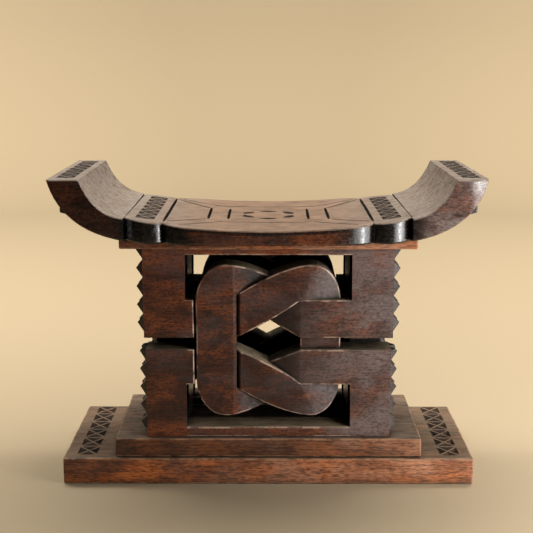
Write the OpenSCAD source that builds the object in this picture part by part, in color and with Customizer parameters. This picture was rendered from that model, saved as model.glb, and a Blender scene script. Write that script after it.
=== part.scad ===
// Carved stool: a curved seat on a double pierced panel cut as a reef knot,
// standing on a stepped plinth. Origin: centre of the underside, +X along the seat,
// -Y to the front. All sizes are in millimetres.

/* [Plinth] */
// Length of the base plate
base_w = 500; // [470:5:506]
// Depth of the base plate
base_d = 196; // [190:2:216]
// Thickness of the base plate
base_h = 33; // [28:1:38]
// Length of the upper step
step_w = 373; // [360:1:400]
// Depth of the upper step
step_d = 172; // [166:1:180]
// Thickness of the upper step
step_h = 23.5; // [18:0.5:28]

/* [Support] */
// Height of the lower half of the support, from the step to the slit
lower_half_h = 110; // [100:0.5:120]
// Height of the slit that parts the lower and the upper half
slit_h = 14.8; // [12:0.2:18]
// Height of the upper half of the support, from the slit to the bearer
upper_half_h = 109.7; // [104:0.1:120]
// Thickness of the front panel and of the back panel
panel_t = 37.5; // [34:0.5:40]
// Depth over both panels
support_d = 154; // [148:1:160]
// Half length of the lower half
lower_half_w = 148; // [146:0.5:150]
// Half length of the upper half
upper_half_w = 149.5; // [148:0.5:152]
// Half width of the pierced window
window_half_w = 99.5; // [97:0.5:102]
// Height of the sill under the knot
sill_h = 12.5; // [10:0.5:15]
// Height of the rail over the knot
rail_h = 8.5; // [6:0.5:10]
// How far the end walls lie behind the ends of the panels
end_inset = 9; // [6:0.5:14]

/* [Knot] */
// Height of each upper arm
upper_arm_h = 46.6; // [42:0.2:50]
// Height of each lower arm
lower_arm_h = 43.8; // [40:0.2:46]
// Distance from the middle to the inner edge of each upright band
band_inner = 38.5; // [36:0.5:42]
// Distance from the middle to the outer edge of each upright band
band_outer = 87; // [84:0.5:89]
// Height of the knot's upper half above its middle
upper_rise = 96; // [92:0.5:98]
// Height of the knot's lower half below its middle
lower_rise = 91.5; // [88:0.5:96]
// Gap between an arm and the band that it dives behind
dive_gap = 2.5; // [1.5:0.5:4]

/* [Studs] */
// Rows of pyramids on the end of one post
stud_rows = 5; // [3:1:6]
// Columns of pyramids on the end of one post
stud_columns = 2; // [1:1:3]
// Height of one pyramid
stud_h = 8.5; // [6:0.5:10]
// Height from one row of pyramids to the next
stud_pitch = 22.3; // [20:0.1:24]
// Thickness of the ground that the pyramids stand on
stud_ground = 1.5; // [1:0.5:3]
// Plain margin below the lowest pyramid
stud_margin = 6; // [2:0.2:9]

/* [Seat] */
// Half length of the seat
seat_half_w = 253; // [245:1:260]
// Height of the wing tips above the floor
tip_z = 375; // [368:1:382]
// Thickness of the seat at its middle
seat_t = 17.5; // [15:0.5:22]
// Rise of the sitting surface from the middle to the foot of a wing
dish = 12.2; // [8:0.2:16]
// Width of the level end of a wing
tip_w = 36.5; // [32:0.5:40]
// Half depth of the wings
wing_half_d = 110; // [106:1:112]
// Half depth at the middle of the seat
mid_half_d = 123.5; // [120:0.5:128]
// Half depth at the notch between the middle and each lobe
notch_half_d = 103.5; // [100:0.5:106]

/* [Bearer] */
// Half length of the bearer under the seat
bearer_half_w = 175.5; // [170:0.5:178]
// Thickness of the bearer at its middle
bearer_t = 9.3; // [8:0.1:12]
// Overhang of the bearer in front of and behind the panels
bearer_lip = 9; // [5:0.5:14]
// Distance from the middle to the upright outer side of the rib under each wing
rib_x = 240.5; // [234:0.5:242]
// Height of the lower outer corner of the ribs above the floor
rib_z = 337; // [335:0.5:342]

/* [Hidden] */

// Levels, from the floor up
step_z = base_h + step_h;
slit_low_z = step_z + lower_half_h;
slit_high_z = slit_low_z + slit_h;
panel_top_z = slit_high_z + upper_half_h;
under_z = panel_top_z + bearer_t;
seat_mid_z = under_z + seat_t;
knot_mid_z = slit_low_z + 8.5;

// The step and the support stand a little forward of the middle
step_mid_y = -6.5;
support_mid_y = -8;
front_y = support_mid_y - support_d / 2;
layer_t = panel_t / 2;

// Foot of the wings, and the ends of the lobes and of the middle, along the seat
wing_foot_x = 166.5;
lobe_out_x = 166.5;
lobe_in_x = 121;
curve_steps = 14;

wood = "#5a3022";
dark_wood = "#33211b";
dusty_wood = "#7d6a5c";

// A point on a cubic Bezier curve, and a run of such points
function bezier(p, t) =
    pow(1 - t, 3) * p[0] + 3 * t * pow(1 - t, 2) * p[1]
    + 3 * t * t * (1 - t) * p[2] + pow(t, 3) * p[3];
function bezier_run(p, steps) = [for (i = [0:steps]) bezier(p, i / steps)];
function reversed(list) = [for (i = [len(list) - 1:-1:0]) list[i]];
function flipped_x(list) = [for (p = list) [-p[0], p[1]]];

// A plate from y0 to y1 whose outline is its 2D child, drawn in X and Z
module slab_xz(y0, y1) {
    translate([0, y1, 0]) rotate([90, 0, 0]) linear_extrude(y1 - y0) children();
}

// The back of the support is the front, turned half round about its own middle
module on_face(face) {
    if (face == "front") children();
    else translate([0, 2 * support_mid_y, 0]) rotate([0, 0, 180]) children();
}

// ---------------------------------------------------------------- plinth
module base_plate() {
    color(wood) translate([-base_w / 2, -base_d / 2, 0]) cube([base_w, base_d, base_h]);
}

module base_step() {
    color(wood) translate([-step_w / 2, step_mid_y - step_d / 2, base_h])
        cube([step_w, step_d, step_h]);
}

// ---------------------------------------------------------------- frame of the support
module cross_bar(face, z0, height) {
    color(wood) on_face(face) translate([-window_half_w, front_y, z0])
        cube([2 * window_half_w, panel_t, height]);
}

// A block at one end of the support: side is -1 on the left and 1 on the right
module end_block(side, outer_x, y0, depth, z0, height) {
    width = outer_x - window_half_w;
    translate([side > 0 ? window_half_w : -outer_x, y0, z0]) cube([width, depth, height]);
}

function post_y(face) = face == "front" ? front_y : front_y + support_d - panel_t;

module lower_post(face, side) {
    color(wood) end_block(side, lower_half_w - stud_ground, post_y(face), panel_t,
                          step_z, lower_half_h);
}

module upper_post(face, side) {
    color(wood) end_block(side, upper_half_w - stud_ground, post_y(face), panel_t,
                          slit_high_z, upper_half_h);
}

module end_wall(side) {
    color(dark_wood) end_block(side, lower_half_w - end_inset, front_y + panel_t,
                               support_d - 2 * panel_t, step_z, panel_top_z - step_z);
}

// ---------------------------------------------------------------- knot
// Half of the right-hand loop, measured from the knot's middle: out along the top of the
// slanting limb, round the bend, down the upright band and back along the limb's underside
function loop_half() = concat(
    bezier_run([[-band_inner, 0.62], [-5, 0.84], [28, 1], [52, 1]], 8),
    [for (a = [75:-15:0]) [52 + (band_outer - 52) * cos(a), 0.52 + 0.48 * sin(a)]],
    [[band_outer, 0], [band_inner, 0]],
    bezier_run([[band_inner, 0.59], [17, 0.42], [0, 0.3], [-band_inner, 0.07]], 6));

// The whole loop, its halves drawn to their own heights
module loop_outline() {
    for (rise = [upper_rise, -lower_rise])
        polygon([for (p = loop_half()) [p[0], knot_mid_z + rise * p[1]]]);
}

// The two arms of that loop, which run to the left-hand post
module arms_outline(inner_x) {
    width = window_half_w - inner_x;
    translate([-window_half_w, slit_high_z]) square([width, upper_arm_h]);
    translate([-window_half_w, slit_low_z - lower_arm_h]) square([width, lower_arm_h]);
}

module full_arms() { arms_outline(band_inner); }
module cut_arms() { arms_outline(band_outer + dive_gap); }

// Where the two loops cross in the middle, the right-hand one lies on top
module middle_crossings() {
    intersection() {
        loop_outline();
        mirror([1, 0]) loop_outline();
    }
}

// The right-hand loop: its bend passes behind the other loop's arms, and its own arms
// pass behind the other loop's band
module right_loop(face) {
    color(wood) on_face(face) {
        slab_xz(front_y, front_y + layer_t) {
            difference() {
                loop_outline();
                mirror([1, 0]) full_arms();
            }
            cut_arms();
        }
        slab_xz(front_y + layer_t, front_y + panel_t) difference() {
            union() {
                loop_outline();
                full_arms();
            }
            middle_crossings();
        }
    }
}

module left_loop(face) {
    color(wood) on_face(face) {
        slab_xz(front_y, front_y + layer_t) difference() {
            mirror([1, 0]) {
                loop_outline();
                full_arms();
            }
            middle_crossings();
        }
        slab_xz(front_y + layer_t, front_y + panel_t) difference() {
            mirror([1, 0]) {
                loop_outline();
                cut_arms();
            }
            full_arms();
        }
    }
}

// ---------------------------------------------------------------- studs
// Teeth that point along X, in a row that starts at the origin and is cut off at limit
module teeth(count, pitch, limit) {
    flat = pitch * 0.05;
    intersection() {
        for (i = [0:count - 1])
            polygon([[0, i * pitch + flat], [stud_h, (i + 0.5) * pitch],
                     [0, (i + 1) * pitch - flat]]);
        square([stud_h, limit]);
    }
}

// Pyramids on the end of one right-hand post, standing on their thin ground
module stud_field(face, outer_x, z0, height) {
    y0 = post_y(face);
    translate([outer_x - stud_ground, y0, z0]) cube([stud_ground, panel_t, height]);
    intersection() {
        translate([outer_x, y0, z0]) linear_extrude(height)
            teeth(stud_columns, panel_t / stud_columns, panel_t);
        translate([outer_x, 0, z0 + stud_margin]) slab_xz(y0, y0 + panel_t)
            teeth(stud_rows, stud_pitch, height - stud_margin);
    }
}

module studs(side, outer_x, z0, height) {
    color(dark_wood) for (face = ["front", "back"])
        if (side > 0) stud_field(face, outer_x, z0, height);
        else mirror([1, 0, 0]) stud_field(face, outer_x, z0, height);
}

module lower_studs(side) { studs(side, lower_half_w, step_z, lower_half_h); }
module upper_studs(side) { studs(side, upper_half_w, slit_high_z, upper_half_h); }

// ---------------------------------------------------------------- seat
// Height of the shallow dish between the wings
function dish_z(x) = seat_mid_z + dish * pow(x / wing_foot_x, 2);

// Right half of the sitting surface, from the middle to the tip
function top_curve() = concat(
    [for (i = [0:curve_steps - 1])
        let (x = wing_foot_x * i / curve_steps) [x, dish_z(x)]],
    bezier_run([[wing_foot_x, dish_z(wing_foot_x)], [190, dish_z(wing_foot_x) + 3.5],
                [206, tip_z - 27], [seat_half_w - tip_w, tip_z]], curve_steps));

// Right half of the underside, from the middle to the tip
function under_curve() = concat([[0, under_z]],
    bezier_run([[140, under_z], [195, under_z + 1.5], [seat_half_w - 10, tip_z - 49],
                [seat_half_w, tip_z]], curve_steps));

// Both halves of a curve that starts at the middle, from the left tip to the right one
function whole(curve) =
    concat(reversed(flipped_x([for (i = [1:len(curve) - 1]) curve[i]])), curve);

module seat_profile() {
    polygon(concat(whole(top_curve()), reversed(whole(under_curve()))));
}

// A quarter of the seat's outline from above: bulging middle, notch, lobe, straight wing
// t runs from 0 at the middle to 1 at the notch, where the outline turns sharply
function mid_depth(t) = notch_half_d + (mid_half_d - notch_half_d) * pow(1 - pow(t, 6), 0.62);
function plan_quarter() = concat(
    [for (i = [0:10]) let (t = sin(9 * i)) [lobe_in_x * t, mid_depth(t)]],
    bezier_run([[lobe_in_x, notch_half_d], [lobe_in_x + 6, notch_half_d + 9.5],
                [lobe_in_x + 25, notch_half_d + 15.5], [lobe_out_x, notch_half_d - 4.5]], 8),
    [[lobe_out_x, wing_half_d], [seat_half_w + 1, wing_half_d]]);

module seat_plan() {
    far_edge = whole(plan_quarter());
    polygon(concat(far_edge, reversed([for (p = far_edge) [p[0], -p[1]]])));
}

module seat_board() {
    color(dusty_wood) intersection() {
        slab_xz(-mid_half_d, mid_half_d) seat_profile();
        translate([0, 0, panel_top_z]) linear_extrude(tip_z) seat_plan();
    }
}

module seat_bearer() {
    depth = support_d + 2 * bearer_lip;
    color(wood) difference() {
        translate([-bearer_half_w, support_mid_y - depth / 2, panel_top_z])
            cube([2 * bearer_half_w, depth, 2 * bearer_t]);
        slab_xz(-support_d, support_d) above_underside();
    }
}

// All that lies over the seat's underside, up to the level of the tips
module above_underside() {
    polygon(whole(under_curve()));
}

// The rib's outer side is upright, and its underside slopes a little
module wing_rib(side) {
    color(dark_wood) mirror([side > 0 ? 0 : 1, 0, 0])
        slab_xz(-wing_half_d, wing_half_d) difference() {
            polygon([[rib_x, rib_z], [rib_x, rib_z + 12], [rib_x - 14, rib_z + 12],
                     [rib_x - 12, rib_z - 3]]);
            above_underside();
        }
}

base_plate();
base_step();
cross_bar("front", step_z, sill_h);  // front_sill
cross_bar("back", step_z, sill_h);  // back_sill
cross_bar("front", panel_top_z - rail_h, rail_h);  // front_top_rail
cross_bar("back", panel_top_z - rail_h, rail_h);  // back_top_rail
lower_post("front", -1);  // front_left_lower_post
lower_post("front", 1);  // front_right_lower_post
upper_post("front", -1);  // front_left_upper_post
upper_post("front", 1);  // front_right_upper_post
lower_post("back", -1);  // back_left_lower_post
lower_post("back", 1);  // back_right_lower_post
upper_post("back", -1);  // back_left_upper_post
upper_post("back", 1);  // back_right_upper_post
end_wall(-1);  // left_end_wall
end_wall(1);  // right_end_wall
left_loop("front");  // front_left_loop
right_loop("front");  // front_right_loop
left_loop("back");  // back_left_loop
right_loop("back");  // back_right_loop
lower_studs(-1);  // left_lower_studs
lower_studs(1);  // right_lower_studs
upper_studs(-1);  // left_upper_studs
upper_studs(1);  // right_upper_studs
seat_bearer();
wing_rib(-1);  // left_wing_rib
wing_rib(1);  // right_wing_rib
seat_board();
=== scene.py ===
"""Looks of a carved stool: a dished seat on a double pierced panel cut as a reef knot.

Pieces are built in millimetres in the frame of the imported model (x along the seat, -y to
the front, z up, the floor at z = 0), and every finished mesh is put in metres."""

import math
from types import SimpleNamespace

import bmesh
import bpy
from mathutils import Matrix, Vector, noise


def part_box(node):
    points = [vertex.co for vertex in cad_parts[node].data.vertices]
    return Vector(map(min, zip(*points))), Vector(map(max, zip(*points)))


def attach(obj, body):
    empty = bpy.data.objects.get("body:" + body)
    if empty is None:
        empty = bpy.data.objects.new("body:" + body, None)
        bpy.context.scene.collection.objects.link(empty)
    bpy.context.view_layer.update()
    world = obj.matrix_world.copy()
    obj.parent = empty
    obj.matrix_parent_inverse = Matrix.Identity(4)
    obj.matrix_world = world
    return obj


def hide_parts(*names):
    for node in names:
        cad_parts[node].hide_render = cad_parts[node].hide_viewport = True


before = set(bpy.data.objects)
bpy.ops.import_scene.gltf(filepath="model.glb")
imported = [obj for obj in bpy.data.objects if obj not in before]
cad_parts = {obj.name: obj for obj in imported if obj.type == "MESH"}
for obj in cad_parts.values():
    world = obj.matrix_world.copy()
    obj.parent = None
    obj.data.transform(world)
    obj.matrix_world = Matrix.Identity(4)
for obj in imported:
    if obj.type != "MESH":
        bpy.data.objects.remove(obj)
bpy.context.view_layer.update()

MM = 0.001

# noise_vector takes its offsets from this seed, or else from the clock
noise.seed_set(7)


def box_mm(node):
    """Lowest and highest corner of a CAD node, in millimetres."""
    low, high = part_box(node)
    return low / MM, high / MM


# ------------------------------------------------------------------ sizes from the frame
plate_low, plate_high = box_mm("base_plate")
step_low, step_high = box_mm("base_step")
sill_low, sill_high = box_mm("front_sill")
rail_low, rail_high = box_mm("front_top_rail")
wall_low, wall_high = box_mm("right_end_wall")
_, seat_high = box_mm("seat_board")
bearer_low, bearer_high = box_mm("seat_bearer")
lower_low, lower_high = box_mm("front_right_lower_post")
upper_low, _ = box_mm("front_right_upper_post")
loop_low, loop_high = box_mm("front_left_loop")
lower_stud_low, lower_stud_high = box_mm("right_lower_studs")
upper_stud_low, upper_stud_high = box_mm("right_upper_studs")

front_y = lower_low.y
panel_t = lower_high.y - lower_low.y
back_y = upper_stud_high.y
support_mid_y = (front_y + back_y) / 2
window_x = sill_high.x
slit_low_z = lower_high.z
slit_high_z = upper_low.z
bearer_t = 9.3
under_z = bearer_low.z + bearer_t
tip_z = seat_high.z
seat_half_w = seat_high.x

# The knot: its middle, the reach of its halves and the upright bands
knot_above_slit = 8.5
knot_mid_z = slit_low_z + knot_above_slit
upper_rise = loop_high.z - knot_mid_z
lower_rise = loop_low.z - knot_mid_z
band_outer = -loop_low.x
band_inner = 38.5
upper_arm_h = 46.6
lower_arm_h = 43.8
upper_arm_z = slit_high_z + upper_arm_h
lower_arm_z = slit_low_z - lower_arm_h
bend_x = 52
bend_centre = 0.52

# Where the bands fold to dive under each other, and how deep they go
limb_fold_x = 39
limb_fold_top_x = 57
limb_fold_reach = 44
arm_fold_x = 37.5
band_fold_x = -43
dive_gap = 2.5
dive_depth = 11
foot_w = 5
foot_depth = 6

# The seat: its dish, the foot of the wings and the bulges of its outline
seat_mid_t = 17.5
seat_mid_z = under_z + seat_mid_t
dish = 12.2
wing_foot_x = 166.5
wing_half_d = 110
mid_half_d = seat_high.y
notch_half_d = 103.5
lobe_in_x = 121
lobe_out_x = wing_foot_x
tip_w = 36.5
tip_inner_x = seat_half_w - tip_w
seat_arris = 2.4
left_stretch = 1.006

# The flat that is cut off the front of each wing tip
facet_w = 19
facet_h = 45
facet_depth = 7

# Lower outer corner of the rib under the right-hand wing, and its size
rib_x = 240.5
rib_z = 337
rib_w = 14
rib_h = 12

# The studs on the ends of the posts
stud_h = 8.5
stud_pitch = 22.3
stud_margin = 6
stud_rows = 5
stud_columns = 2

# How far the arrises of the panels are rounded off by wear
panel_wear = 1.8

# How far the carver's hand wanders from straight, and over what length
waver = 0.45
waver_length = 55

# The grid that meshes are cut on, and where in a cell it starts, clear of the pieces' edges
grid_step = 9
grid_phase = 0.37


# ------------------------------------------------------------------ curves
def bezier(curve, t):
    """A point on a cubic Bezier curve in two coordinates."""
    a, b, c, d = curve
    k = ((1 - t) ** 3, 3 * t * (1 - t) ** 2, 3 * t * t * (1 - t), t**3)
    return tuple(k[0] * a[i] + k[1] * b[i] + k[2] * c[i] + k[3] * d[i] for i in (0, 1))


def stretch(curve, start, end, steps):
    """Points along a curve from one parameter to another."""
    return [bezier(curve, start + (end - start) * i / steps) for i in range(steps + 1)]


def meets(curve, axis, value):
    """The parameter at which a curve that only rises or only falls reaches a value."""
    low, high = 0.0, 1.0
    rising = curve[3][axis] > curve[0][axis]
    for _ in range(40):
        middle = (low + high) / 2
        if (bezier(curve, middle)[axis] < value) == rising:
            low = middle
        else:
            high = middle
    return (low + high) / 2


def share(value, start, end):
    """How far value has come from start to end, kept within 0 and 1."""
    return max(0.0, min(1.0, (value - start) / (end - start)))


def smooth_min(a, b, width):
    """The smaller of two heights, with the corner between them rounded off."""
    h = max(width - abs(a - b), 0) / width
    return min(a, b) - h * h * width / 4


# ------------------------------------------------------------------ mesh building
def prism(bm, runs, y0, y1):
    """Adds a closed plate from y0 to y1 and returns its arrises that are free to wear.

    runs is the outline in x and z as a list of (points, free): the edges that start at
    those points are free, or else they join on to a neighbouring piece."""
    points = [p for run, _ in runs for p in run]
    free = [is_free for run, is_free in runs for _ in run]
    near = [bm.verts.new((x, y0, z)) for x, z in points]
    far = [bm.verts.new((x, y1, z)) for x, z in points]
    count = len(points)
    faces = [bm.faces.new(near), bm.faces.new(far[::-1])]
    for i in range(count):
        j = (i + 1) % count
        faces.append(bm.faces.new((near[j], near[i], far[i], far[j])))
    bmesh.ops.recalc_face_normals(bm, faces=faces)
    worn_and_glint = []
    for i in range(count):
        j = (i + 1) % count
        if free[i]:
            worn_and_glint.append(bm.edges.get((near[i], near[j])))
            worn_and_glint.append(bm.edges.get((far[i], far[j])))
        corner = bm.edges.get((near[i], far[i]))
        if free[i] and free[i - 1] and corner.is_convex and corner.calc_face_angle() > 0.5:
            worn_and_glint.append(corner)
    return worn_and_glint


def wear(bm, edges, width, segments=3):
    """Rounds arrises off, and writes 1 to the mesh on the faces that round them."""
    worn_and_glint = bm.faces.layers.float.get("arris") or bm.faces.layers.float.new("arris")
    made = bmesh.ops.bevel(
        bm,
        geom=edges,
        offset=width,
        segments=segments,
        profile=0.5,
        affect="EDGES",
        clamp_overlap=True,
    )
    for face in made["faces"]:
        face[worn_and_glint] = 1


def crease(bm, point, normal):
    """Cuts the faces of a mesh along a plane, so that they can fold there."""
    everything = bm.verts[:] + bm.edges[:] + bm.faces[:]
    bmesh.ops.bisect_plane(bm, geom=everything, plane_co=point, plane_no=normal, dist=1e-4)


def crease_across(bm, x):
    """Cuts the faces of a mesh along the upright plane across it at one x."""
    crease(bm, Vector((x, 0, 0)), Vector((1, 0, 0)))


def cut_grid(bm, step=grid_step):
    """Cuts the faces of a mesh on a regular grid, so that they can follow uneven wood."""
    for axis in range(3):
        low = min(v.co[axis] for v in bm.verts)
        high = max(v.co[axis] for v in bm.verts)
        normal = Vector((0, 0, 0))
        normal[axis] = 1
        place = (math.floor(low / step) + grid_phase) * step
        while place < high:
            if place > low:
                crease(bm, normal * place, normal)
            place += step


def waver_mesh(bm):
    """Moves every point a little, the same way wherever two pieces share a face."""
    quick_offset = Vector((7, 3, 5))
    quick_share = 0.22
    for v in bm.verts:
        slow = noise.noise_vector(v.co / waver_length)
        quick = noise.noise_vector(v.co / (waver_length / 4) + quick_offset)
        v.co += waver * slow + quick_share * waver * quick


def turn_to_back(bm):
    """Turns a piece of the front panel half round, which makes it one of the back panel."""
    turn = Matrix.Rotation(math.pi, 4, "Z")
    middle = Matrix.Translation((0, support_mid_y, 0))
    bm.transform(middle @ turn @ middle.inverted())


def to_object(bm, name, materials):
    """Puts a mesh that was built in millimetres in the scene, in metres."""
    bm.transform(Matrix.Scale(MM, 4))
    mesh = bpy.data.meshes.new(name)
    bm.to_mesh(mesh)
    bm.free()
    made = bpy.data.objects.new(name, mesh)
    bpy.context.scene.collection.objects.link(made)
    for material in materials:
        mesh.materials.append(material)
    return made


def finish_piece(bm, node, materials):
    """Turns a built mesh into a shown piece that stands for its CAD node."""
    sharp = math.radians(38)
    for edge in bm.edges:
        edge.smooth = edge.calc_face_angle(0) < sharp
    for face in bm.faces:
        face.smooth = True
    made = to_object(bm, node + "_visual", materials)
    weighted = made.modifiers.new("even_shading", "WEIGHTED_NORMAL")
    weighted.keep_sharp = True
    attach(made, "root")
    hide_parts(node)


def finish_uncut(bm, node, material):
    """Lets a mesh with nothing cut in it follow uneven wood, and turns it into a piece."""
    cut_grid(bm)
    waver_mesh(bm)
    finish_piece(bm, node, [material])


def carve(bm, cutter, materials):
    """Takes the cutter's closed shapes out of a mesh. Cut faces get the second material."""
    for face in cutter.faces:
        face.material_index = 1
    bmesh.ops.recalc_face_normals(cutter, faces=cutter.faces)
    body = to_object(bm, "uncut", materials)
    knife = to_object(cutter, "knife", materials)
    cut = body.modifiers.new("cut", "BOOLEAN")
    cut.object = knife
    cut.solver = "EXACT"
    graph = bpy.context.evaluated_depsgraph_get()
    result = bmesh.new()
    result.from_mesh(body.evaluated_get(graph).data)
    result.transform(Matrix.Scale(1 / MM, 4))
    bpy.data.objects.remove(body)
    bpy.data.objects.remove(knife)
    return result


# ------------------------------------------------------------------ cutters
def chip(bm, corners, surface, depth):
    """A hollow with flat sloping sides, as cut with three strokes of a knife."""
    past_surface = 1.5
    middle = incentre(corners)
    apex = Vector((middle.x, middle.y, surface(middle.x) - depth))
    rim = []
    for corner in corners:
        on_surface = Vector((corner.x, corner.y, surface(corner.x)))
        rim.append(bm.verts.new(apex + (on_surface - apex) * past_surface))
    bottom = bm.verts.new(apex)
    bm.faces.new(rim)
    for i in range(len(rim)):
        bm.faces.new((rim[i], rim[i - 1], bottom))


def incentre(corners):
    """Centre of the circle that touches the three sides of a triangle."""
    a, b, c = corners
    sides = ((b - c).length, (c - a).length, (a - b).length)
    return (a * sides[0] + b * sides[1] + c * sides[2]) / sum(sides)


def inset(corners, margin):
    """A triangle drawn in by the same margin on its three sides."""
    a, b, c = corners
    middle = incentre(corners)
    area = abs((b - a).cross(c - a)) / 2
    radius = 2 * area / ((b - c).length + (c - a).length + (a - b).length)
    return [middle + (p - middle) * (1 - margin / radius) for p in corners]


def frieze(bm, x_mid, width, y0, y1, cells, surface, depth, ridge):
    """A row of crosses between four chips each, running from y0 to y1."""
    pitch = (y1 - y0) / cells
    for cell in range(cells):
        low = y0 + cell * pitch
        centre = Vector((x_mid, low + pitch / 2))
        ring = [
            Vector((x_mid + width / 2 * sx, low + pitch / 2 * (1 + sy)))
            for sx, sy in ((-1, -1), (1, -1), (1, 1), (-1, 1))
        ]
        for i in range(4):
            chip(bm, inset([ring[i - 1], ring[i], centre], ridge), surface, depth)


def groove(bm, path, width, depth, surface, swell=lambda t: 1):
    """A V-shaped groove along a path in x and y, as wide at each point as swell says."""
    past_surface = 1.6
    rows = []
    last = len(path) - 1
    for i, point in enumerate(path):
        here = Vector(point)
        ahead = Vector(path[min(i + 1, last)]) - Vector(path[max(i - 1, 0)])
        across = Vector((-ahead.y, ahead.x)).normalized()
        size = swell(i / last)
        bottom = Vector((here.x, here.y, surface(here.x) - depth * size))
        row = [bottom]
        for side in (-1, 1):
            rim = here + across * (side * width / 2 * size)
            on_surface = Vector((rim.x, rim.y, surface(rim.x)))
            row.append(bottom + (on_surface - bottom) * past_surface)
        rows.append([bm.verts.new(p) for p in row])
    for a, b in zip(rows, rows[1:]):
        for i in range(3):
            j = (i + 1) % 3
            bm.faces.new((a[i], a[j], b[j], b[i]))
    bm.faces.new(rows[0][::-1])
    bm.faces.new(rows[-1])


# ------------------------------------------------------------------ materials
# Colours that all the woods share
# The next two are painted light: a grey sheen and a dark shade for the knot's folded facets
sheen_grey = (0.085, 0.078, 0.08)
shade_dark = (0.011, 0.0095, 0.0095)
# Black, for staining and for painted shade alike
black_stain_and_shade = (0.006, 0.0048, 0.0042)
grey_dust = (0.215, 0.183, 0.152)


def add(tree, kind, inputs=None, **settings):
    """Adds a node, sets its options, and gives its inputs a value or a link."""
    made = tree.nodes.new(kind)
    for name, value in settings.items():
        setattr(made, name, value)
    for key, value in (inputs or {}).items():
        if isinstance(value, bpy.types.NodeSocket):
            tree.links.new(value, made.inputs[key])
        else:
            made.inputs[key].default_value = value
    return made


def grain(tree, place, lengthwise, crosswise, detail=4.0, seed=0.0):
    """Noise drawn out along the grain, which runs in x. Scales are per metre."""
    drawn_out = add(
        tree,
        "ShaderNodeMapping",
        {
            "Vector": place,
            "Location": (seed, seed * 1.7, seed * 0.6),
            "Scale": (lengthwise, crosswise, crosswise),
        },
    )
    made = add(
        tree,
        "ShaderNodeTexNoise",
        {"Vector": drawn_out.outputs["Vector"], "Scale": 1.0, "Detail": detail, "Roughness": 0.6},
    )
    return made.outputs["Fac"]


def between(tree, value, low, high, to_low=0.0, to_high=1.0):
    """Value mapped from low and high to to_low and to_high, smoothly."""
    made = add(
        tree,
        "ShaderNodeMapRange",
        {"Value": value, "From Min": low, "From Max": high, "To Min": to_low, "To Max": to_high},
        interpolation_type="SMOOTHSTEP",
    )
    return made.outputs["Result"]


def math_node(tree, operation, a, b=0.0):
    """The result of one sum."""
    return add(tree, "ShaderNodeMath", {0: a, 1: b}, operation=operation).outputs["Value"]


def times(tree, a, b):
    """The product of two values."""
    return math_node(tree, "MULTIPLY", a, b)


def rest_of(tree, value):
    """What is missing from a value to make 1."""
    return math_node(tree, "SUBTRACT", 1.0, value)


def mix_value(tree, amount, a, b):
    """Mixes two values, each a number or a link."""
    return add(tree, "ShaderNodeMix", {0: amount, 2: a, 3: b}).outputs[0]


def mix_colour(tree, amount, a, b):
    """Mixes two colours, each a plain colour or a link."""
    colours = [c if isinstance(c, bpy.types.NodeSocket) else (*c, 1) for c in (a, b)]
    inputs = {0: amount, 6: colours[0], 7: colours[1]}
    return add(tree, "ShaderNodeMix", inputs, data_type="RGBA").outputs[2]


def scaled(colour, factor):
    """A colour made darker or lighter."""
    return tuple(factor * c for c in colour)


def along(tree, vector, axis):
    """One coordinate of a place or a direction."""
    return add(tree, "ShaderNodeSeparateXYZ", {0: vector}).outputs[axis]


def facing(tree, axis):
    """One coordinate of the direction that the surface faces."""
    return along(tree, add(tree, "ShaderNodeNewGeometry").outputs["Normal"], axis)


def facing_up(tree, low, high):
    """1 where the surface faces up, 0 where it is steep."""
    return between(tree, facing(tree, "Z"), low, high)


def facing_front(tree):
    """1 where the surface faces the front, 0 on the ends and at the back."""
    return between(tree, facing(tree, "Y"), -0.3, -0.8)


def steep(tree):
    """1 where the surface is steep, 0 where it faces up."""
    return rest_of(tree, facing_up(tree, 0.3, 0.7))


def painted(tree, name):
    """A value that was written to the mesh."""
    return add(tree, "ShaderNodeAttribute", attribute_name=name).outputs["Fac"]


def off_middle(tree, place, near, far):
    """1 where x is further from the middle than far, 0 where it is nearer than near."""
    away = math_node(tree, "ABSOLUTE", along(tree, place, "X"))
    return between(tree, away, near, far)


def wood_marks(tree, place, fibre):
    """The noises that every wood is made of, from its fibres to its large stains."""
    lengthwise, crosswise = fibre
    fibres = grain(tree, place, lengthwise, crosswise, 3)
    lines = grain(tree, place, lengthwise / 6, crosswise, 3, 3)
    return SimpleNamespace(
        strands=math_node(tree, "ADD", times(tree, fibres, 0.6), times(tree, lines, 0.4)),
        lines=lines,
        clouds=grain(tree, place, 20, 40, 5, 8),
        stains=grain(tree, place, 16, 26, 5, 14),
        speckle=grain(tree, place, 200, 300, 4, 21),
    )


def painted_sheen_and_shade(tree, marks, colour):
    """Painted grey sheen where folded facets would catch the light, and painted dark shade on
    facets turned away from it and in the feet.
    """
    mark = painted(tree, "sheen_and_shade")
    light_mark = between(tree, mark, 0.1, 0.6)
    light_mark = times(tree, light_mark, between(tree, marks.speckle, 0.42, 0.66, 0.3, 1))
    colour = mix_colour(tree, light_mark, colour, sheen_grey)
    return mix_colour(tree, between(tree, mark, 0, -1, 0, 0.75), colour, shade_dark)


def painted_front_sheen(tree, place, marks, colour, start, end, most, pale):
    """A painted sheen: a pale bloom on the faces to the front, which grows from one x to another
    as if lit from the right.
    """
    sheen_amount = between(tree, along(tree, place, "X"), start, end, 0, most)
    sheen_amount = times(tree, sheen_amount, between(tree, marks.strands, 0.36, 0.62, 0.35, 1.5))
    sheen_amount = times(tree, sheen_amount, between(tree, marks.stains, 0.42, 0.6, 0.5, 1.6))
    sheen_amount = times(tree, sheen_amount, facing_front(tree))
    return mix_colour(tree, sheen_amount, colour, pale)


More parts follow.
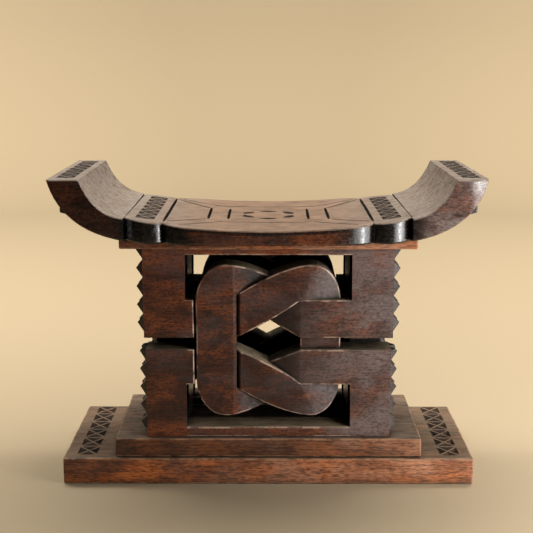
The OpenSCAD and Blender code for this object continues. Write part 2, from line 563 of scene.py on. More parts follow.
def dusty_colour(tree, place, marks, dust, greyer_at):
    """Dust in paler and darker lines, with scuffs, blotches and streaks."""
    dark, pale = scaled(dust, 0.82), scaled(dust, 1.15)
    colour = mix_colour(tree, between(tree, marks.lines, 0.4, 0.6), dark, pale)
    if greyer_at:
        dark, pale = scaled(grey_dust, 0.68), scaled(grey_dust, 1.13)
        greyed = mix_colour(tree, between(tree, marks.lines, 0.38, 0.6), dark, pale)
        colour = mix_colour(tree, greyer_at(tree, place), colour, greyed)
    scuffs = between(tree, grain(tree, place, 45, 150, 5, 31), 0.52, 0.6, 0, 0.75)
    colour = mix_colour(tree, scuffs, colour, scaled(dust, 0.4))
    blotches = between(tree, marks.stains, 0.48, 0.7, 0, 0.35)
    colour = mix_colour(tree, blotches, colour, scaled(dust, 0.6))
    streaks = between(tree, grain(tree, place, 12, 700, 2, 37), 0.42, 0.56, 0.5, 0)
    return mix_colour(tree, streaks, colour, scaled(dust, 0.6))


def wood(
    name,
    fibre,
    deep,
    body,
    glow,
    patina,
    patina_share,
    dust,
    dust_share,
    worn_and_glint,
    rough,
    matt=0.5,
    warmth=0.75,
    steepest=0.5,
    front_sheen=None,
    warmer_at=None,
    greyer_at=None,
    darkened_at=None,
    hidden_at=None,
):
    """Stained and waxed wood.

    fibre: how many fibres there are to a metre, along x and across.
    deep, body, glow: the colours of the pores, of the wood and of its warm clouds.
    patina, dust, worn_and_glint: the colours of its cool stains, of what lies on it and of its
    arrises, whose pale bare wood is also a painted highlight.
    rough, matt: the roughness and the specular level of the wax.
    warmth: how strong the warm clouds are.
    steepest: how much a face must look up to hold dust.
    front_sheen: where in x a painted sheen on the front faces starts and ends, its share and its
    colour.
    warmer_at, greyer_at, darkened_at, hidden_at: functions of the tree and the place, for where
    the warm glow is painted in full, on the rail as painted light, where its dust is grey, where
    it is darkened to black by staining and as painted shade, and where no light comes, so that
    shade is painted black without gloss."""
    material = bpy.data.materials.new(name)
    material.use_nodes = True
    tree = material.node_tree
    shader = tree.nodes["Principled BSDF"]
    place = add(tree, "ShaderNodeTexCoord").outputs["Object"]
    marks = wood_marks(tree, place, fibre)

    # The wood itself and its stains, with painted sheen and painted shade
    colour = mix_colour(tree, between(tree, marks.strands, 0.38, 0.62), deep, body)
    warm = between(tree, marks.clouds, 0.42, 0.64, 0, warmth)
    if warmer_at:
        warm = math_node(tree, "MAXIMUM", warm, warmer_at(tree, place))
    ember = times(tree, warm, between(tree, marks.strands, 0.38, 0.6, 0.15, 1))
    colour = mix_colour(tree, ember, colour, glow)
    cool = between(tree, marks.stains, 0.46, 0.6, 0, patina_share)
    cool = times(tree, cool, between(tree, marks.speckle, 0.35, 0.6, 0.55, 1))
    colour = mix_colour(tree, cool, colour, patina)
    colour = painted_sheen_and_shade(tree, marks, colour)
    if front_sheen:
        colour = painted_front_sheen(tree, place, marks, colour, *front_sheen)
    blackening = hidden_at or darkened_at
    black = blackening(tree, place) if blackening else 0.0
    colour = mix_colour(tree, black, colour, black_stain_and_shade)

    # Dust on top, painted shade in the corners from ambient occlusion, and bare wood on the
    # arrises
    dusty = between(tree, marks.lines, 0.25, 0.55, dust_share * 0.75, dust_share)
    dusty = times(tree, facing_up(tree, steepest, steepest + 0.3), dusty)
    colour = mix_colour(tree, dusty, colour, dusty_colour(tree, place, marks, dust, greyer_at))
    occlusion = add(tree, "ShaderNodeAmbientOcclusion", {"Distance": 0.02}, samples=6)
    crevice_shade = between(tree, occlusion.outputs["AO"], 0.25, 0.85, 0.85, 0)
    colour = mix_colour(tree, crevice_shade, colour, scaled(deep, 0.25))
    # The pale bare wood on the arrises is also a painted highlight along the edges
    chafed = between(tree, grain(tree, place, 60, 60, 4, 17), 0.42, 0.58, 0.08, 1)
    arris = times(tree, painted(tree, "arris"), chafed)
    colour = mix_colour(tree, times(tree, arris, 0.8), colour, worn_and_glint)
    tree.links.new(colour, shader.inputs["Base Color"])

    # Gloss: less under dust, none where shade is painted black, more on the arrises
    shine = times(tree, rest_of(tree, times(tree, dusty, 0.8)), matt)
    if hidden_at:
        shine = times(tree, shine, rest_of(tree, black))
    tree.links.new(shine, shader.inputs["Specular IOR Level"])
    waxed = between(tree, marks.speckle, 0.35, 0.65, rough - 0.08, rough + 0.1)
    dulled = mix_value(tree, dusty, waxed, 0.62)
    tree.links.new(mix_value(tree, arris, dulled, rough * 0.7), shader.inputs["Roughness"])

    # Relief: the fibres and the marks of the adze, weaker where the wood is blackened by staining
    # and by painted shade
    adzed = grain(tree, place, 70, 90, 3, 11)
    relief = math_node(tree, "ADD", times(tree, marks.strands, 0.4), times(tree, adzed, 0.7))
    strength = between(tree, black, 0, 1, 0.9, 0.3)
    bump = add(tree, "ShaderNodeBump", {"Height": relief, "Distance": MM, "Strength": strength})
    tree.links.new(bump.outputs["Normal"], shader.inputs["Normal"])
    return material


def inside_support(tree, place):
    """Where shade is painted black: 1 between the panels and on the side walls of the openings, 0
    on all that faces up.
    """
    past_middle = math_node(tree, "SUBTRACT", along(tree, place, "Y"), support_mid_y * MM)
    away = math_node(tree, "ABSOLUTE", past_middle)
    half = (back_y - front_y) / 2 * MM
    between_panels = between(tree, away, half - 0.03, half - 0.036)
    behind_front = between(tree, away, half - 0.003, half - 0.008)
    sideways = between(tree, math_node(tree, "ABSOLUTE", facing(tree, "Y")), 0.8, 0.5)
    wall = times(tree, behind_front, sideways)
    return times(tree, math_node(tree, "MAXIMUM", between_panels, wall), steep(tree))


def lobe_stain_and_left_shade(tree, place):
    """Stained black at the lobes, fading out on the right wing; the left wing is painted about
    half black as shade, on the side away from the light.
    """
    x = along(tree, place, "X")
    left_wing = between(tree, x, -0.167, -0.185, 0, 0.48)
    right_wing = between(tree, x, 0.165, 0.2)
    on_wing = math_node(tree, "ADD", left_wing, right_wing)
    return math_node(tree, "SUBTRACT", off_middle(tree, place, 0.07, 0.105), on_wing)


def seat_stain_and_shade(tree, place):
    """Stained black at the lobes and, between them, in a band under the top arris, with the
    painted shade on the left wing.
    """
    across = times(tree, along(tree, place, "X"), 1 / (wing_foot_x * MM))
    rise = times(tree, times(tree, across, across), dish * MM)
    level = math_node(tree, "SUBTRACT", along(tree, place, "Z"), rise)
    band = between(tree, level, (seat_mid_z - 7) * MM, (seat_mid_z - 4) * MM, 0, 0.85)
    band = times(tree, band, rest_of(tree, off_middle(tree, place, 0.16, 0.167)))
    return math_node(tree, "MAXIMUM", band, lobe_stain_and_left_shade(tree, place))


def on_wings(tree, place):
    """1 on the wings, falling off towards the middle of the seat."""
    return off_middle(tree, place, 0.05, 0.18)


def above_plate(tree, place):
    """1 on all that stands on the base plate, 0 on the plate itself."""
    return between(tree, along(tree, place, "Z"), plate_high.z * MM, (plate_high.z + 2) * MM)


def on_step(tree, place):
    """The top of the step is a little greyer than the top of the base."""
    return times(tree, above_plate(tree, place), 0.35)


def step_shade(tree, place):
    """The sides of the step are painted darker than the base as shade, most of all on the left.
    """
    below_seat = between(tree, along(tree, place, "Z"), 0.2, 0.19)
    amount = between(tree, along(tree, place, "X"), -0.02, 0.15, 0.64, 0.38)
    on_sides = times(tree, times(tree, above_plate(tree, place), below_seat), steep(tree))
    return times(tree, on_sides, amount)


def rail_lit_glow(tree, place):
    """The rail and the tops of the posts under it get the warm glow in full, as painted light
    under the seat; the feet of the posts are warmer too.
    """
    z = along(tree, place, "Z")
    under_seat = between(tree, z, 0.25, 0.284)
    at_feet = between(tree, z, 0.082, 0.066, 0, 0.7)
    return math_node(tree, "MAXIMUM", under_seat, at_feet)


plinth_wood = wood(
    "plinth_wood",
    fibre=(130, 620),
    deep=(0.036, 0.0115, 0.0052),
    body=(0.2, 0.054, 0.0155),
    glow=(0.47, 0.135, 0.034),
    patina=(0.05, 0.034, 0.03),
    patina_share=0.36,
    dust=(0.128, 0.096, 0.064),
    dust_share=0.88,
    greyer_at=on_step,
    worn_and_glint=(0.26, 0.14, 0.08),
    rough=0.45,
    matt=0.38,
    front_sheen=(-0.2, 0.22, 0.44, (0.43, 0.2, 0.11)),
    darkened_at=step_shade,
)
support_wood = wood(
    "support_wood",
    fibre=(240, 520),
    deep=(0.0125, 0.0052, 0.0042),
    body=(0.044, 0.0122, 0.0062),
    glow=(0.22, 0.056, 0.0165),
    patina=(0.042, 0.0325, 0.034),
    patina_share=0.55,
    dust=(0.26, 0.21, 0.135),
    dust_share=0.8,
    worn_and_glint=(0.38, 0.27, 0.21),
    rough=0.4,
    hidden_at=inside_support,
    warmer_at=rail_lit_glow,
    warmth=0.58,
    matt=0.38,
    front_sheen=(0.01, 0.12, 0.48, (0.125, 0.092, 0.086)),
)
# Nearly black, partly as painted shade to match the left-hand studs, which stand in shadow; also
# used for the end walls and the wing ribs
dark_wood = wood(
    "dark_wood",
    fibre=(240, 520),
    deep=(0.003, 0.0024, 0.002),
    body=(0.01, 0.007, 0.0055),
    glow=(0.025, 0.014, 0.01),
    patina=(0.016, 0.0145, 0.0145),
    patina_share=0.5,
    dust=(0.03, 0.025, 0.02),
    dust_share=0.3,
    worn_and_glint=(0.07, 0.06, 0.055),
    rough=0.36,
    matt=0.3,
    front_sheen=(0.05, 0.1, 0.5, (0.075, 0.066, 0.066)),
)
seat_wood = wood(
    "seat_wood",
    fibre=(180, 520),
    deep=(0.014, 0.0055, 0.004),
    body=(0.056, 0.016, 0.0078),
    glow=(0.16, 0.043, 0.0148),
    patina=(0.035, 0.026, 0.024),
    patina_share=0.4,
    dust=(0.2, 0.127, 0.084),
    dust_share=0.95,
    steepest=0.05,
    greyer_at=on_wings,
    worn_and_glint=(0.16, 0.11, 0.08),
    rough=0.24,
    darkened_at=seat_stain_and_shade,
    front_sheen=(0.155, 0.19, 0.5, (0.16, 0.125, 0.112)),
)
cut_wood = wood(
    "cut_wood",
    fibre=(240, 520),
    deep=(0.006, 0.004, 0.003),
    body=(0.03, 0.018, 0.012),
    glow=(0.06, 0.036, 0.022),
    patina=(0.015, 0.012, 0.01),
    patina_share=0.3,
    dust=(0.05, 0.036, 0.025),
    dust_share=0.2,
    worn_and_glint=(0.1, 0.08, 0.06),
    rough=0.7,
    matt=0.1,
)


# ------------------------------------------------------------------ plinth
def rectangle(x0, x1, z0, z1, left=True, right=True):
    """Outline of a block, whose left or right end may join on to a neighbour."""
    return [([(x0, z0)], True), ([(x1, z0)], right), ([(x1, z1)], True), ([(x0, z1)], left)]


def block(low, high, width):
    """A closed block with its arrises rounded off by wear."""
    bm = bmesh.new()
    wear(bm, prism(bm, rectangle(low.x, high.x, low.z, high.z), low.y, high.y), width)
    return bm


def make_base_plate():
    """The plate on the floor, with a frieze of chips at each end."""
    bm = block(plate_low, plate_high, 2.2)
    cutter = bmesh.new()
    frieze_x = 222.7
    for side in (-1, 1):
        frieze(
            cutter,
            side * frieze_x,
            width=27,
            y0=-87,
            y1=95,
            cells=6,
            surface=lambda x: plate_high.z,
            depth=3.6,
            ridge=1.3,
        )
    materials = [plinth_wood, cut_wood]
    bm = carve(bm, cutter, materials)
    cut_grid(bm, 14)
    waver_mesh(bm)
    finish_piece(bm, "base_plate", materials)


def make_base_step():
    """The shorter step on the plate."""
    finish_uncut(block(step_low, step_high, 2), "base_step", plinth_wood)


# ------------------------------------------------------------------ frame of the support
def face_span(face):
    """Where the front or the back panel starts and ends in y."""
    start = front_y if face == "front" else back_y - panel_t
    return start, start + panel_t


def make_bars(face):
    """The sill under the knot and the rail over it."""
    y0, y1 = face_span(face)
    for name, low, high in (("sill", sill_low, sill_high), ("top_rail", rail_low, rail_high)):
        bm = bmesh.new()
        outline = rectangle(low.x, high.x, low.z, high.z, False, False)
        wear(bm, prism(bm, outline, y0, y1), panel_wear)
        finish_uncut(bm, f"{face}_{name}", support_wood)


def post_outline(half):
    """Outline of a right-hand end block, whose inner side joins the arm and the bar."""
    if half == "lower":
        out_x = lower_stud_high.x - stud_h
        return [
            ([(window_x, sill_low.z), (out_x, sill_low.z), (out_x, slit_low_z)], True),
            ([(window_x, slit_low_z)], False),
            ([(window_x, lower_arm_z)], True),
            ([(window_x, sill_high.z)], False),
        ]
    out_x = upper_stud_high.x - stud_h
    return [
        ([(window_x, rail_high.z), (out_x, rail_high.z), (out_x, slit_high_z)], True),
        ([(window_x, slit_high_z)], False),
        ([(window_x, upper_arm_z)], True),
        ([(window_x, rail_low.z)], False),
    ]


def make_posts(face):
    """The four end blocks of a panel."""
    y0, y1 = face_span(face)
    for side, side_name in ((-1, "left"), (1, "right")):
        for half in ("lower", "upper"):
            bm = bmesh.new()
            wear(bm, prism(bm, mirrored(post_outline(half), side), y0, y1), panel_wear)
            node = f"{face}_{side_name}_{half}_post"
            finish_uncut(bm, node, support_wood)


def mirrored(runs, side):
    """An outline mirrored to the left-hand side, if side is -1. Its edges keep their flags."""
    if side > 0:
        return runs
    points = [p for run, _ in runs for p in run]
    free = [is_free for run, is_free in runs for _ in run]
    points = [(-x, z) for x, z in reversed(points)]
    free = list(reversed(free[:-1])) + [free[-1]]
    return [([p], is_free) for p, is_free in zip(points, free)]


def make_end_walls():
    """The plain walls between the two panels."""
    for side, name in ((-1, "left_end_wall"), (1, "right_end_wall")):
        bm = bmesh.new()
        outline = rectangle(wall_low.x, wall_high.x, wall_low.z, wall_high.z)
        wear(bm, prism(bm, mirrored(outline, side), wall_low.y, wall_high.y), 1.2)
        finish_uncut(bm, name, dark_wood)


# ------------------------------------------------------------------ knot
def loop_curves(near):
    """Outer and inner edge of the limb that slants up to the right-hand bend.

    Heights are shares of the knot's rise; near is the share at the edge of the slit."""
    outer = ((-band_inner, 0.62), (-5, 0.84), (28, 1), (bend_x, 1))
    inner = ((band_inner + 6, 0.59), (band_inner - 15.5, 0.42), (5, 0.3), (-band_inner, near))
    return outer, inner


def bend(end_share, steps=8):
    """The round bend of a loop, from its top down to the share where it is covered."""
    height = 1 - bend_centre
    last = math.asin((end_share - bend_centre) / height)
    angles = [math.pi / 2 + (last - math.pi / 2) * i / steps for i in range(1, steps + 1)]
    reach = band_outer - bend_x
    return [(bend_x + reach * math.cos(a), bend_centre + height * math.sin(a)) for a in angles]


def knot_half(half):
    """The rise of one half of the knot, and its arm's two edges as shares of that rise."""
    rise = upper_rise if half == "upper" else lower_rise
    slit_z = slit_high_z if half == "upper" else slit_low_z
    arm_z = upper_arm_z if half == "upper" else lower_arm_z
    return rise, (slit_z - knot_mid_z) / rise, (arm_z - knot_mid_z) / rise


def knot_plate(outline):
    """A plate as thick as the panel, with its free arrises rounded off by wear."""
    bm = bmesh.new()
    wear(bm, prism(bm, outline, front_y, front_y + panel_t), panel_wear)
    return bm


def at_height(runs, rise):
    """An outline whose heights were shares of the knot's rise, in x and z."""
    return [([(x, knot_mid_z + rise * s) for x, s in points], free) for points, free in runs]


def sink(bm, depth, sheen_and_shade):
    """Lowers the front of a plate by depth(x, z), and the layers behind it less and less.

    sheen_and_shade(x, z) is written to the mesh: 1 where a grey sheen is painted, -1 where a dark
    shade is painted."""
    end_y = front_y + panel_t
    light_mark = bm.verts.layers.float.new("sheen_and_shade")
    for v in bm.verts:
        v[light_mark] = sheen_and_shade(v.co.x, v.co.z)
        v.co.y += depth(v.co.x, v.co.z) * share(v.co.y, end_y, front_y)


def build_limb(half):
    """The slanting limb with its bend, which dives under the arm of the other loop."""
    rise, near, arm = knot_half(half)
    outer, inner = loop_curves(near)
    inner_start = meets(inner, 1, arm)
    outline = [
        (stretch(outer, 0, 1, 14) + bend(arm)[:-1], True),
        ([bend(arm)[-1]], False),
        (stretch(inner, inner_start, 1, 12)[:-1], True),
        ([(-band_inner, near)], False),
    ]
    bm = knot_plate(at_height(outline, rise))
    fold_low = Vector((limb_fold_x, 0, knot_mid_z + rise * arm))
    fold_high = Vector((limb_fold_top_x, 0, knot_mid_z + rise * 0.98))
    along = (fold_high - fold_low).normalized()
    side = Vector((abs(along.z), 0, -abs(along.x) * (1 if rise > 0 else -1)))
    crease(bm, fold_low, side)
    foot_x = foot_w - band_inner
    crease_across(bm, foot_x)
    cut_grid(bm)

    def past_fold(x, z):
        return share((Vector((x, 0, z)) - fold_low).dot(side), 0, limb_fold_reach)

    def in_foot(x):
        return share(x, foot_x, -band_inner)

    # Painted sheen on the facet past the fold, painted shade in the foot by the band
    sink(
        bm,
        depth=lambda x, z: dive_depth * past_fold(x, z) + foot_depth * in_foot(x),
        sheen_and_shade=lambda x, z: past_fold(x, z) - in_foot(x),
    )
    return bm


def build_right_arm(half):
    """The arm of the left-hand loop, from its post to where it dives under the limb."""
    rise, near, arm = knot_half(half)
    _, inner = loop_curves(near)
    inner_start = meets(inner, 1, arm)
    middle = meets(inner, 0, 0)
    hidden = stretch(inner, inner_start, middle, 8)
    eye = [(-x, s) for x, s in stretch(inner, middle, 1, 6)]
    outline = [
        ([(window_x, arm)], True),
        (hidden[:-1], False),
        (eye, True),
        ([(window_x, near)], False),
    ]
    bm = knot_plate(at_height(outline, rise))
    crease_across(bm, arm_fold_x)
    cut_grid(bm)
    # Painted shade on the arm where it dives under the limb
    sink(
        bm,
        depth=lambda x, z: dive_depth * share(x, arm_fold_x, -2),
        sheen_and_shade=lambda x, z: -share(x, arm_fold_x + 2.5, arm_fold_x - 13.5),
    )
    return bm


def build_left_band():
    """The left-hand loop's upright band with both its bends, which dive under the limbs."""
    halves = {}
    for half in ("upper", "lower"):
        rise, near, _ = knot_half(half)
        outer, _ = loop_curves(near)
        tip = meets(outer, 0, 0)
        far = [(-x, s) for x, s in stretch(outer, tip, 1, 12) + bend(bend_centre)]
        under = stretch(outer, 0, tip, 6)[:-1]
        halves[half] = [run for run, _ in at_height([(far, True), (under, False)], rise)]
    upper_far, upper_under = halves["upper"]
    lower_far, lower_under = halves["lower"]
    outline = [
        (upper_far + lower_far[:0:-1], True),
        ([lower_far[0]] + lower_under[:0:-1], False),
        ([lower_under[0]], True),
        (upper_under, False),
    ]
    bm = knot_plate(outline)
    crease_across(bm, band_fold_x)
    cut_grid(bm)

    # Painted sheen on the lower facet of the band, painted shade on the upper one
    def sheen_and_shade(x, z):
        painted_sheen_and_shade = 0.7 if z < knot_mid_z else -1
        return painted_sheen_and_shade * share(x, band_fold_x - 1, -20)

    sink(bm, lambda x, z: dive_depth * share(x, band_fold_x, 0), sheen_and_shade)
    return bm


def build_left_arm(half):
    """The arm of the right-hand loop, from its post to the gap before the left band."""
    rise, near, arm = knot_half(half)
    z0, z1 = sorted((knot_mid_z + rise * near, knot_mid_z + rise * arm))
    gap_x = -band_outer - dive_gap
    bm = bmesh.new()
    outline = [
        ([(-window_x, z0), (gap_x, z0), (gap_x, z1)], True),
        ([(-window_x, z1)], False),
    ]
    wear(bm, prism(bm, outline, front_y, front_y + panel_t), 1.5)
    clear = 0.5
    tongue = rectangle(gap_x - 2, -band_outer, z0 + clear, z1 - clear, False, False)
    prism(bm, tongue, front_y + panel_t / 2, front_y + panel_t)
    cut_grid(bm)
    return bm


def build_slit_band():
    """The part of the right-hand band that shows in the slit between the two arms."""
    bm = bmesh.new()
    outline = rectangle(band_inner, band_outer, slit_low_z, slit_high_z)
    wear(bm, prism(bm, outline, front_y + dive_depth - 1, front_y + panel_t), 1.5)
    cut_grid(bm)
    return bm


def merged(parts):
    """Several built meshes as one."""
    whole = bmesh.new()
    for part in parts:
        holder = bpy.data.meshes.new("part")
        part.to_mesh(holder)
        part.free()
        whole.from_mesh(holder)
        bpy.data.meshes.remove(holder)
    return whole


def make_knot(face):
    """The two loops of a panel's knot, one piece each."""
    halves = ("upper", "lower")
    loops = {
        "left": [build_left_band()] + [build_right_arm(half) for half in halves],
        "right": [build_slit_band()]
        + [build_limb(half) for half in halves]
        + [build_left_arm(half) for half in halves],
    }
    for side, parts in loops.items():
        bm = merged(parts)
        if face == "back":
            turn_to_back(bm)
        waver_mesh(bm)
        finish_piece(bm, f"{face}_{side}_loop", [support_wood])


# ------------------------------------------------------------------ studs
def pyramid(bm, x, y0, y1, z0, z1, z_limit, height):
    """A four-sided pyramid that points along x, with its top cut off at a limit."""
    rooted = 0.8
    base_x = x - math.copysign(rooted, height)
    ring = [bm.verts.new((base_x, y, z)) for y, z in ((y0, z0), (y1, z0), (y1, z1), (y0, z1))]
    tip = bm.verts.new((x + height, (y0 + y1) / 2, (z0 + z1) / 2))
    faces = [bm.faces.new(ring)]
    for i in range(4):
        faces.append(bm.faces.new((ring[i - 1], ring[i], tip)))
    if z1 > z_limit:
        geometry = ring + [tip] + list({e for f in faces for e in f.edges}) + faces
        cut = bmesh.ops.bisect_plane(
            bm, geom=geometry, plane_co=(0, 0, z_limit), plane_no=(0, 0, 1), clear_outer=True
        )
        edges = [g for g in cut["geom_cut"] if isinstance(g, bmesh.types.BMEdge)]
        bmesh.ops.contextual_create(bm, geom=edges)


def make_studs(side, half):
    """The studs on the outer ends of one front and one back post."""
    low, high = lower_stud_low, lower_stud_high
    if half == "upper":
        low, high = upper_stud_low, upper_stud_high
    side_gap, row_gap, top_gap = 0.5, 0.4, 0.6
    bm = bmesh.new()
    for face in ("front", "back"):
        y_start, y_end = face_span(face)
        column = (y_end - y_start) / stud_columns
        for row in range(stud_rows):
            z0 = low.z + stud_margin + row * stud_pitch
            for i in range(stud_columns):
                y0 = y_start + i * column
                pyramid(
                    bm,
                    side * (high.x - stud_h),
                    y0 + side_gap,
                    y0 + column - side_gap,
                    z0 + row_gap,
                    z0 + stud_pitch - row_gap,
                    high.z - top_gap,
                    side * stud_h,
                )
    bmesh.ops.recalc_face_normals(bm, faces=bm.faces)
    wear(bm, bm.edges[:], 0.5, 2)
    waver_mesh(bm)
    node = f"{'left' if side < 0 else 'right'}_{half}_studs"
    finish_piece(bm, node, [dark_wood])


# ------------------------------------------------------------------ seat
top_wing = (
    (wing_foot_x, seat_mid_z + dish),
    (190, seat_mid_z + dish + 3.5),
    (206, tip_z - 27),
    (tip_inner_x, tip_z),
)
under_wing = (
    (140, under_z),
    (195, under_z + 1.5),
    (seat_half_w - 10, tip_z - 49),
    (seat_half_w, tip_z),
)


def top_z(x):
    """Height of the sitting surface, of the wing's inner side and of its level tip."""
    x = abs(x)
    if x < wing_foot_x:
        return seat_mid_z + dish * (x / wing_foot_x) ** 2
    if x > tip_inner_x:
        return tip_z - 0.3 * math.exp(-(x - tip_inner_x))
    return smooth_min(bezier(top_wing, meets(top_wing, 0, x))[1], tip_z, 1.2)


def bottom_z(x):
    """Height of the underside."""
    x = abs(x)
    if x < under_wing[0][0]:
        return under_z
    return bezier(under_wing, meets(under_wing, 0, x))[1]


def half_depth(x):
    """Half the depth of the seat: bulging middle, notch, lobe and straight wing."""
    x = abs(x)
    if x <= lobe_in_x:
        return notch_half_d + (mid_half_d - notch_half_d) * (1 - (x / lobe_in_x) ** 6) ** 0.62
    if x >= lobe_out_x:
        return wing_half_d
    lobe = (
        (lobe_in_x, notch_half_d),
        (lobe_in_x + 6, notch_half_d + 9.5),
        (lobe_in_x + 25, notch_half_d + 15.5),
        (lobe_out_x, notch_half_d - 4.5),
    )
    return bezier(lobe, meets(lobe, 0, x))[1]


def seat_stations():
    """Places along the seat where its section is drawn, closer together where it turns."""
    places = {0.0, lobe_in_x, lobe_out_x - 0.4, lobe_out_x + 0.6, seat_half_w - 0.1}
    places |= {i * 8.0 for i in range(1, 15)}
    places |= {lobe_in_x + offset for offset in (-13, -5, -2.5, -1, -0.3, 0.4, 1, 2, 3.5, 6, 10)}
    places |= {lobe_in_x + offset for offset in range(13, 42, 4)}
    places |= {round(bezier(top_wing, i / 16)[0], 2) for i in range(1, 17)}
    places |= {round(bezier(under_wing, i / 18)[0], 2) for i in range(4, 18)}
    right = sorted(places)
    return [-x for x in right[:0:-1]] + right


def section(x):
    """The seat's outline across its depth at one place, as points in y and z."""
    depth = half_depth(x)
    high, low = top_z(x), bottom_z(x)
    radius = min(seat_arris, (high - low) / 2.3)
    across = 26
    flat = [(depth - radius) * (2 * i / across - 1) for i in range(across + 1)]
    angles = [math.radians(a) for a in (22, 45, 68, 90)]
    corner = [(radius * math.sin(a), radius * (1 - math.cos(a))) for a in angles]
    side = [(depth - radius + out, high - down) for out, down in corner]
    side += [(depth, high - radius + (low - high + 2 * radius) * w) for w in (0.33, 0.67)]
    side += [(depth, low + radius)]
    side += [(depth - radius + out, low + down) for out, down in corner[-2::-1]]
    top = [(y, high) for y in flat]
    bottom = [(y, low) for y in reversed(flat)]
    return top + side + bottom + [(-y, z) for y, z in reversed(side)]


def build_seat():
    """The seat before anything is cut in its top, drawn through all its sections."""
    bm = bmesh.new()
    rings = []
    for x in seat_stations():
        rings.append([bm.verts.new((x, y, z)) for y, z in section(x)])
    count = len(rings[0])
    for a, b in zip(rings, rings[1:]):
        for i in range(count):
            j = (i + 1) % count
            bm.faces.new((a[i], a[j], b[j], b[i]))
    bm.faces.new(rings[0][::-1])
    bm.faces.new(rings[-1])
    for v in bm.verts:
        if v.co.y < 0:
            outward = share(v.co.x, seat_half_w - facet_w, seat_half_w)
            v.co.y += facet_depth * outward * share(v.co.z, tip_z - facet_h, tip_z)
        if v.co.x < 0:
            v.co.x *= left_stretch
    bmesh.ops.recalc_face_normals(bm, faces=bm.faces)
    return bm


def line(start, end, steps=8):
    """Points on a straight line in x and y."""
    a, b = Vector(start), Vector(end)
    return [tuple(a.lerp(b, i / steps)) for i in range(steps + 1)]


def blunt(t):
    """A groove that narrows only close to its ends."""
    return 1 - 0.5 * abs(2 * t - 1) ** 8


def fading(t):
    """A groove that narrows all the way to the front."""
    return 1 - 0.6 * t


def pointed(t):
    """A groove that swells from a point and back to one."""
    return 0.04 + 0.96 * math.sin(math.pi * t)


def cut_side_lines(bm, side):
    """The lines in one half of the seat: three deep cuts, and a fan of finer lines."""
    for x, front, back, width, depth in (
        (122.5, -92, 94, 3.8, 5),
        (73, -47, 43, 3.6, 4.4),
        (49, -40, 42, 3.6, 4.4),
    ):
        groove(bm, line((side * x, front), (side * x, back)), width, depth, top_z, blunt)
    for (x0, y0), (x1, y1), width, depth in (
        ((118.5, 93), (75.8, 44), 2.9, 2.4),
        ((118.5, -88), (75.8, -48), 2.9, 2.4),
        ((113, 98), (61.5, 66), 2.5, 2.2),
        ((104, -104), (54.5, -61), 2.5, 2.2),
    ):
        groove(bm, line((side * x0, y0), (side * x1, y1)), width, depth, top_z)
    foot_x = side * (wing_foot_x + 0.3)
    groove(bm, line((foot_x, 106), (foot_x, -98)), 2.2, 2, top_z, fading)


def cut_ring(bm):
    """The ring of crescents in the middle of the seat."""
    crescents, ring_radius, steps = 6, 29.5, 8
    first, sweep = math.radians(7), math.radians(46)
    for i in range(crescents):
        start = first + math.tau * i / crescents
        arc = [start + sweep * k / steps for k in range(steps + 1)]
        path = [(ring_radius * math.cos(a), ring_radius * math.sin(a)) for a in arc]
        groove(bm, path, 12, 5.5, top_z, pointed)


def build_seat_cuts():
    """Every line, chip and crescent that is cut in the top of the seat."""
    bm = bmesh.new()
    chips = {"cells": 7, "depth": 4.4, "ridge": 0.7}
    for side in (-1, 1):
        cut_side_lines(bm, side)
        frieze(bm, side * 145, 23.5, -90, 95, surface=top_z, **chips)
        frieze(bm, side * 236.5, 22.5, -92, 100, surface=lambda x: tip_z, **chips)
    groove(bm, line((-60, 66.5), (60, 66.5), 10), 2.5, 2.2, top_z)
    groove(bm, line((-53, -61.5), (53, -61.5), 10), 2.5, 2.2, top_z)
    cut_ring(bm)
    return bm


def make_seat():
    """The seat with its wings and lobes."""
    materials = [seat_wood, cut_wood]
    bm = carve(build_seat(), build_seat_cuts(), materials)
    waver_mesh(bm)
    finish_piece(bm, "seat_board", materials)


def make_bearer():
    """The thin board-like bearer, let a little into the seat so that no gap shows."""
    let_in = 2
    high = Vector((bearer_high.x, bearer_high.y, under_z + let_in))
    finish_uncut(block(bearer_low, high, 2), "seat_bearer", plinth_wood)


def make_wing_ribs():
    """The low rib under each wing, across its whole depth, with an upright outer side."""
    section = [
        (rib_x, rib_z),
        (rib_x, rib_z + rib_h),
        (rib_x - rib_w, rib_z + rib_h),
        (rib_x - rib_w + 2, rib_z - 3),
    ]
    for side, name in ((-1, "left_wing_rib"), (1, "right_wing_rib")):
        outline = mirrored([([corner], True) for corner in section], side)
        bm = bmesh.new()
        reach = wing_half_d - 1
        wear(bm, prism(bm, outline, -reach, reach), 1.4)
        finish_uncut(bm, name, dark_wood)


# ------------------------------------------------------------------ stage
def make_round(name, profile, material):
    """A part of the stage: a profile in radius and height, turned round the upright axis."""
    bm = bmesh.new()
    ring = [bm.verts.new((radius, 0, z)) for radius, z in profile]
    edges = [bm.edges.new(pair) for pair in zip(ring, ring[1:])]
    bmesh.ops.spin(
        bm,
        geom=ring + edges,
        cent=(0, 0, 0),
        axis=(0, 0, 1),
        angle=2 * math.pi,
        steps=96,
        use_merge=True,
    )
    bmesh.ops.remove_doubles(bm, verts=bm.verts[:], dist=1e-5)
    for face in bm.faces:
        face.smooth = True
    bm.transform(Matrix.Scale(1 / MM, 4))
    made = to_object(bm, name, [material])
    return made


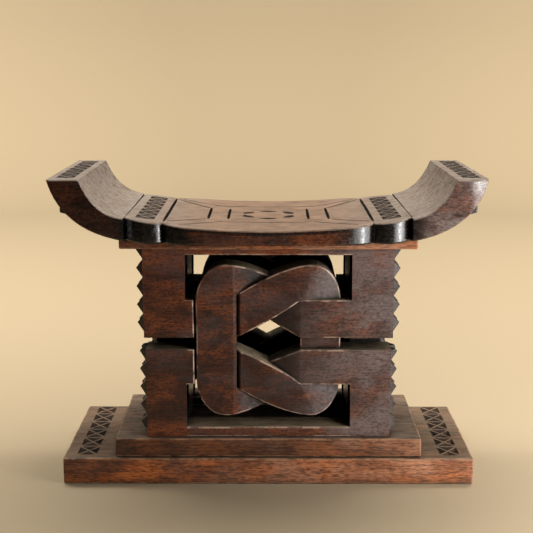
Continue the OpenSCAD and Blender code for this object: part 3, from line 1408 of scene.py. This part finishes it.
def make_stage():
    """A pale round floor that curves up into a wall all round, so that no horizon shows.

    The wall is seen, but throws no light on the carving, whose surroundings are dark."""
    floor_radius, fillet_start, fillet, wall_top = 1.2, 2.2, 0.7, 2.9
    material = bpy.data.materials.new("pale_sweep")
    material.use_nodes = True
    shader = material.node_tree.nodes["Principled BSDF"]
    shader.inputs["Base Color"].default_value = (0.27, 0.21, 0.13, 1)
    shader.inputs["Roughness"].default_value = 0.9
    make_round("floor", [(0, 0), (floor_radius, 0)], material)
    profile = [(floor_radius, 0), (fillet_start, 0)]
    steps = 12
    for i in range(1, steps + 1):
        angle = math.pi / 2 * i / steps
        profile.append((fillet_start + fillet * math.sin(angle), fillet * (1 - math.cos(angle))))
    profile.append((fillet_start + fillet, wall_top))
    wall = make_round("wall", profile, material)
    wall.visible_diffuse = False
    wall.visible_glossy = False


def make_area_light(name, place, size, power, colour, target=(0, 0, 0.2)):
    """A rectangular light that points at a target and is not seen itself."""
    light = bpy.data.lights.new(name, "AREA")
    light.shape = "RECTANGLE"
    light.size, light.size_y = size
    light.energy = power
    light.color = colour
    lamp = bpy.data.objects.new(name, light)
    lamp.location = place
    lamp.rotation_euler = (Vector(target) - Vector(place)).to_track_quat("-Z", "Y").to_euler()
    lamp.visible_camera = False
    bpy.context.scene.collection.objects.link(lamp)


def make_lights():
    """A soft key from the right, soft light from above, and light on the wall all round."""
    warm, cool, wall_warm = (1, 0.97, 0.92), (0.97, 0.98, 1), (1, 0.95, 0.86)
    make_area_light("key", (0.65, -0.4, 0.32), (0.6, 0.6), 8, (1, 0.97, 0.93))
    make_area_light("strip", (0.85, -0.6, 0.18), (0.13, 0.4), 5, cool)
    make_area_light("top", (0.1, 0.35, 1.7), (1.6, 1.0), 16, warm)
    for side in (-1, 1):
        make_area_light("top_side", (0.6 * side, 0.4, 1.3), (0.6, 0.6), 10 - 3 * side, warm)
    make_area_light("wall", (0, 0.9, 2.6), (3, 1), 240, wall_warm, target=(0, 3.2, 0.9))
    for side_x, side_y in ((-1, 0), (1, 0), (0, -1)):
        start = (0.9 * side_x, 0.9 * side_y, 2.3)
        end = (3.2 * side_x, 3.2 * side_y, 1.6)
        make_area_light("far_wall", start, (3, 1), 200, wall_warm, target=end)


def make_world():
    """A faint even light, so that no shadow is quite black."""
    world = bpy.data.worlds.new("studio")
    world.use_nodes = True
    backdrop = world.node_tree.nodes["Background"]
    backdrop.inputs["Color"].default_value = (0.82, 0.79, 0.75, 1)
    backdrop.inputs["Strength"].default_value = 0.03
    bpy.context.scene.world = world


def make_camera():
    """The camera that was fitted to the photograph's angle."""
    lens = bpy.data.cameras.new("camera")
    lens.sensor_width = 36
    lens.lens = 72.3
    camera = bpy.data.objects.new("camera", lens)
    camera.location = (0.0017, -1.3272, 0.5221)
    camera.rotation_euler = (math.radians(78.48), 0, math.radians(0.18))
    bpy.context.scene.collection.objects.link(camera)
    bpy.context.scene.camera = camera


make_camera()
make_lights()
make_world()
make_stage()
make_base_plate()
make_base_step()
for panel_face in ("front", "back"):
    make_bars(panel_face)
    make_posts(panel_face)
    make_knot(panel_face)
make_end_walls()
for stud_side in (-1, 1):
    for stud_half in ("lower", "upper"):
        make_studs(stud_side, stud_half)
make_bearer()
make_wing_ribs()
make_seat()
bpy.context.scene.view_settings.view_transform = "Standard"
